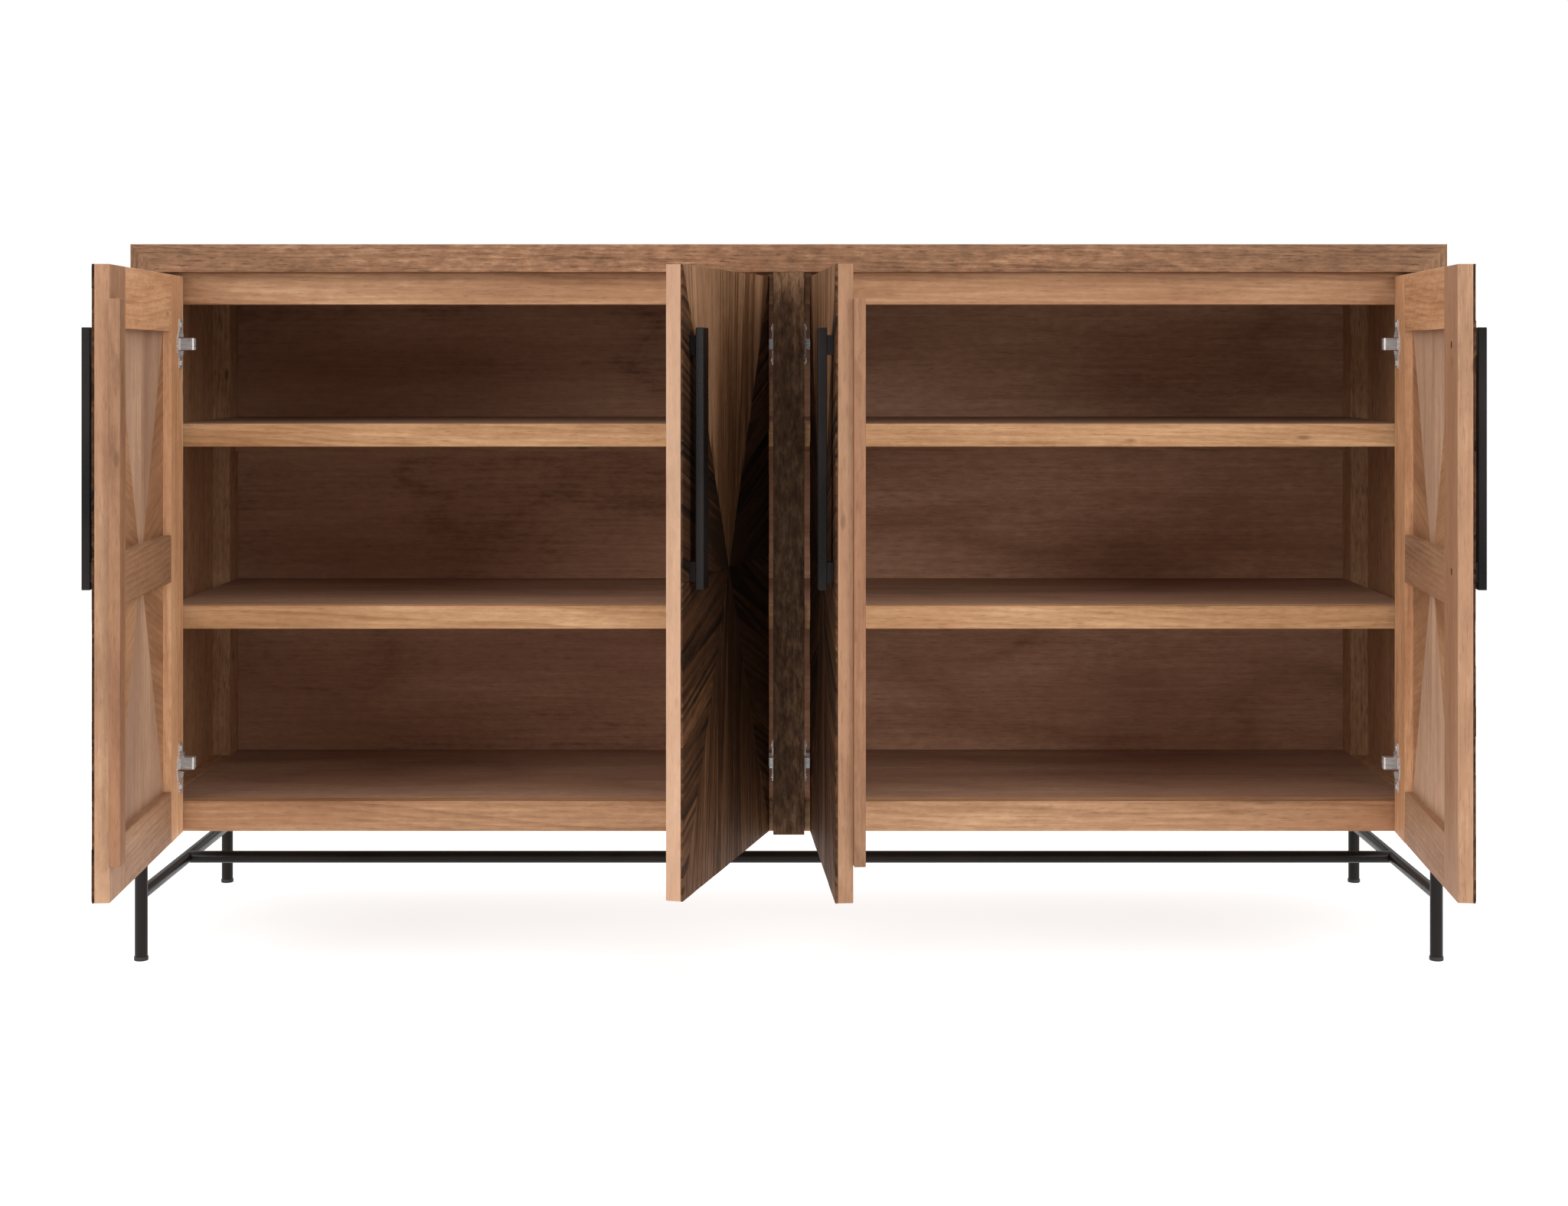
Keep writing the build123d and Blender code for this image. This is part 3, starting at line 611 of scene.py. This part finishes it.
def studio_floor():
    """A pale floor that glows enough to show nearly white."""
    graph = new_material("studio_floor")
    place = graph.node("TexCoord").outputs["Object"]
    cloud = graph.noise(place, (0.7, 0.7, 0.7), 2.0)
    colour = graph.mix(cloud, *(srgb(*colour) for colour in FLOOR_GREY))
    graph.shader.inputs["Emission Color"].default_value = (1, 1, 1, 1)
    graph.shader.inputs["Emission Strength"].default_value = FLOOR_GLOW
    return graph.finish(colour, graph.remap(cloud, 0.3, 0.7, 0.75, 0.85))


# ---- Mosaic door faces

def clip(outline, point, normal):
    """The part of a convex outline on the side of a line that its normal points to."""
    kept = []
    for start, end in zip(outline, outline[1:] + outline[:1]):
        a, b = (start - point).dot(normal), (end - point).dot(normal)
        if a >= 0:
            kept.append(start)
        if (a > 0 > b) or (a < 0 < b):
            kept.append(start.lerp(end, a / (a - b)))
    return kept


def area(outline):
    return abs(sum(a.cross(b) for a, b in zip(outline, outline[1:] + outline[:1]))) / 2


def planks(triangle, focus, rng):
    """Cuts a triangle into planks along lines that meet at a far focus.

    Yields each plank's outline and grain direction.
    """
    centre = sum(triangle, Vector((0, 0))) / 3
    axis = (centre - focus).normalized()
    side = Vector((-axis.y, axis.x))
    slopes = [(corner - focus).dot(side) / (corner - focus).dot(axis) for corner in triangle]
    reach = (centre - focus).length
    slope, end = min(slopes), max(slopes)
    while slope < end:
        step = rng.uniform(*PLANK_WIDTH) / reach
        if end - slope - step < PLANK_WIDTH[0] / reach:
            step = end - slope
        low, high = axis + side * slope, axis + side * (slope + step)
        outline = clip(list(triangle), focus, Vector((-low.y, low.x)))
        outline = clip(outline, focus, Vector((high.y, -high.x)))
        if len(outline) > 2 and area(outline) > SMALLEST_PLANK:
            yield outline, (low + high).normalized()
        slope += step


def face_triangles():
    """The six triangles of a door face, each with the focus that its planks run to and the painted light of
    its planks, lighter on top and darker at the sides.
    """
    (left, right), (low, high) = DOOR_X, DOOR_Z
    middle = Vector(DOOR_MIDDLE)
    ring = [(left, low), (right, low), (right, middle.y), (right, high), (left, high), (left, middle.y)]
    ring = [Vector(corner) for corner in ring]
    for start, end in zip(ring, ring[1:] + ring[:1]):
        if start.y == end.y:
            focus = middle + Vector((0, middle.y - start.y)) * UPRIGHT_FOCUS
            # painted light on the top triangle, painted shade on the bottom one
            lift = PAINTED_TRIANGLE_LIGHT["top" if start.y > middle.y else "bottom"]
        else:
            # painted shade on the side triangles
            lift = PAINTED_TRIANGLE_LIGHT["upper" if (start + end).y / 2 > middle.y else "lower"]
            outward = Vector((math.copysign(1, start.x - middle.x), 0))
            rise = math.copysign(math.tan(math.radians(SIDE_SLOPE)), (start + end).y / 2 - middle.y)
            focus = middle - (outward + Vector((0, rise))) * SIDE_FOCUS
        yield (start, end, middle), focus, lift


def add_plank(mesh, layers, outline, direction, lift, rng):
    """One plank as a shallow prism, with its grain coordinates and tone on its corners, the tone holding
    painted light and shade besides the plank's own tone.
    """
    front = SKIN_FRONT + rng.uniform(0, SKIN_RELIEF)
    back_ring = [mesh.verts.new((p.x, SKIN_BACK, p.y)) for p in outline]
    front_ring = [mesh.verts.new((p.x, front, p.y)) for p in outline]
    count = len(outline)
    faces = [mesh.faces.new(back_ring), mesh.faces.new(front_ring[::-1])]
    for i in range(count):
        j = (i + 1) % count
        faces.append(mesh.faces.new((back_ring[j], back_ring[i], front_ring[i], front_ring[j])))
    origin = sum(outline, Vector((0, 0))) / count
    across = Vector((-direction.y, direction.x))
    # the plank's own random tone, lightened or darkened by its triangle's painted light
    tone = 0.5 + rng.uniform(-0.5, 0.5) * PLANK_CONTRAST + lift
    spread = Vector((rng.random(), rng.random(), rng.random()))
    for vert in back_ring + front_ring:
        place = Vector((vert.co.x, vert.co.z))
        offset = place - origin
        vert[layers["grain"]] = Vector((offset.dot(direction), offset.dot(across), vert.co.y))
        distance = (place - Vector(DOOR_MIDDLE)).length
        # painted shade, darkest in the middle of the door
        vert[layers["tone"]] = tone - PAINTED_CENTRE_SHADE * (1 - distance / PAINTED_SHADE_REACH)
        vert[layers["spread"]] = spread
    rim = list(faces[1].edges)
    bmesh.ops.bevel(mesh, geom=rim, offset=PLANK_EASE, segments=2, affect="EDGES", clamp_overlap=True)


def mosaic_face(door):
    """A door's mosaic of planks, in place of the plain triangles of the CAD."""
    rng = random.Random(f"mosaic {door}")
    mesh = bmesh.new()
    kinds = mesh.verts.layers
    layers = {
        "grain": kinds.float_vector.new("grain"),
        "tone": kinds.float.new("tone"),
        "spread": kinds.float_vector.new("spread"),
    }
    for triangle, focus, lift in face_triangles():
        for outline, direction in planks(triangle, focus, rng):
            add_plank(mesh, layers, outline, direction, lift, rng)
    face_x, side, angle = DOORS[door]
    turn = Matrix.Rotation(-math.radians(angle), 4, "Z")
    swing = Matrix.Translation(PIN) @ turn @ Matrix.Translation(-PIN)
    mesh.transform(Matrix.Translation((face_x, RAIL_Y, 0)) @ Matrix.Diagonal((side, 1, 1, 1)) @ swing)
    bmesh.ops.recalc_face_normals(mesh, faces=mesh.faces)
    data = bpy.data.meshes.new(f"mosaic_{door}")
    mesh.to_mesh(data)
    mesh.free()
    data.materials.append(MATERIALS["planks"])
    piece = bpy.data.objects.new(f"mosaic_{door}", data)
    bpy.context.scene.collection.objects.link(piece)
    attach(piece, f"door_{door}")
    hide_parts(f"door_face_{door}")


# ---- Finishes on the CAD nodes

def paint(material, *nodes):
    for name in nodes:
        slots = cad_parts[name].data.materials
        slots.clear()
        slots.append(material)


def paint_case():
    light_x = case_wood("light_wood_x", LIGHT_WOOD, "x", LEVELS, 11)
    light_z = case_wood("light_wood_z", LIGHT_WOOD, "z", (WHOLE, HALVES, 0.2), 12)
    weathered_z = side_wood("weathered_upright", "z", (WHOLE, HALVES, HALVES), 13, STILE_INSIDE)
    weathered_y = side_wood("weathered_crosswise", "y", (WHOLE, CASE_MIDDLE_Z, HALVES), 14, STILE_INSIDE)
    panel_z = side_wood("weathered_panel", "z", (WHOLE, HALVES, SIDE_BOARDS), 15, PANEL_INSIDE, panel=True)
    shelf_ply = case_wood("shelf_ply", SHELF_PLY, "x", LEVELS, 17, peeled=True)
    paint(top_wood(), "top_board")
    paint(weathered_z, "side_front_stile_left", "side_front_stile_right", "side_rear_stiles")
    paint(weathered_y, "side_cross_rails")
    paint(panel_z, "side_panel_left", "side_panel_right")
    paint(post_wood(), "centre_post")
    paint(light_z, "centre_divider")
    paint(light_x, "top_rails", "bottom_rails", "shelf_cleats", "joint_dowels")
    paint(case_wood("lip_wood", LIP_WOOD, "x", LEVELS, 11), "shelf_lips")
    paint(rear_frame_wood(), "rear_frame")
    paint(back_ply(), "back_panels")
    shelves = [f"shelf_{level}_{side}" for level in ("lower", "upper") for side in ("left", "right")]
    paint(shelf_ply, "floor_panels", *shelves)


def paint_metal():
    plating = nickel()
    base_coating = coated_metal("base_coating", BASE_BLACK)
    # handle coating: own black with a painted sheen
    handle_coating_painted_sheen = coated_metal("handle_coating_painted_sheen", HANDLE_BLACK_PAINTED_SHEEN)
    legs = [f"leg_{end}_{side}" for end in ("front", "rear") for side in ("left", "right")]
    handles = [f"handle_{door}" for door in DOORS]
    cups = [f"hinge_cups_{door}" for door in DOORS]
    paint(base_coating, "base_side_rails", "base_stretcher", "leg_plates", *legs)
    paint(handle_coating_painted_sheen, *handles)
    paint(plating, "hinge_arms", "hinge_mounting_plates", "hinge_screws", "leg_plate_screws", *cups)
    paint(black_plastic(), "foot_glides")


def paint_door(door):
    paint(door_wood("stiles", door, "z", DOOR_STILES, 20), f"door_stiles_{door}")
    paint(door_wood("rails", door, "x", DOOR_RAILS, 30), f"door_rails_{door}")
    paint(wedge_wood(door), f"door_panels_{door}")
    if f"overlap_strip_{door}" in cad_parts:
        paint(door_wood("strip", door, "z", NO_CELLS, 40, lift=STRIP_LIFT), f"overlap_strip_{door}")


# ---- Stage

def add_object(name, data, location=(0, 0, 0)):
    thing = bpy.data.objects.new(name, data)
    thing.location = location
    bpy.context.scene.collection.objects.link(thing)
    return thing


def make_camera():
    data = bpy.data.cameras.new("camera")
    data.lens = LENS
    data.shift_x, data.shift_y = SHIFT
    camera = add_object("camera", data, CAMERA_AT)
    camera.rotation_euler = (math.pi / 2, 0, 0)
    bpy.context.scene.camera = camera


def make_floor():
    mesh = bmesh.new()
    bmesh.ops.create_circle(mesh, cap_ends=True, segments=96, radius=FLOOR_RADIUS)
    data = bpy.data.meshes.new("floor")
    mesh.to_mesh(data)
    mesh.free()
    data.materials.append(studio_floor())
    add_object("floor", data)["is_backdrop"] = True


def softbox(name, location, target, size, power):
    data = bpy.data.lights.new(name, "AREA")
    data.shape = "RECTANGLE"
    data.size, data.size_y = size
    data.energy = power
    light = add_object(name, data, location)
    aim = Vector(target) - Vector(location)
    light.rotation_euler = aim.to_track_quat("-Z", "Y").to_euler()
    light.visible_camera = False


def make_world():
    """A studio that is brightest overhead, and plain white where the camera sees it."""
    graph = Graph(bpy.data.worlds.new("studio"))
    up = graph.split(graph.node("TexCoord").outputs["Generated"])[2]
    strength = graph.remap(up, 0.0, 1.0, *WORLD_LIGHT)
    lit = graph.node("Background", inputs={"Color": (1, 1, 1, 1), "Strength": strength})
    seen = graph.node("Background", inputs={"Color": (1, 1, 1, 1), "Strength": 1.0})
    camera_ray = graph.node("LightPath").outputs["Is Camera Ray"]
    mixed = graph.node("MixShader", inputs={0: camera_ray, 1: lit.outputs[0], 2: seen.outputs[0]})
    graph.feed(graph.tree.nodes["World Output"].inputs["Surface"], mixed.outputs[0])
    bpy.context.scene.world = graph.owner


def make_light():
    make_world()
    x, y, z = KEY_AT
    softbox("softbox_left", (-x, y, z), KEY_TARGET, KEY_SIZE, KEY_POWER)
    softbox("softbox_right", (x, y, z), KEY_TARGET, KEY_SIZE, KEY_POWER)


def write_sizes():
    boxes = {"cad": CAD_BOX, "visual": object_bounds()}
    {name: [list(low), list(high)] for name, (low, high) in boxes.items()}


bpy.context.scene.view_settings.view_transform = "Standard"
make_camera()
make_light()
make_floor()
MATERIALS = {"planks": plank_wood()}
paint_case()
paint_metal()
for door_name in DOORS:
    paint_door(door_name)
    mosaic_face(door_name)
write_sizes()
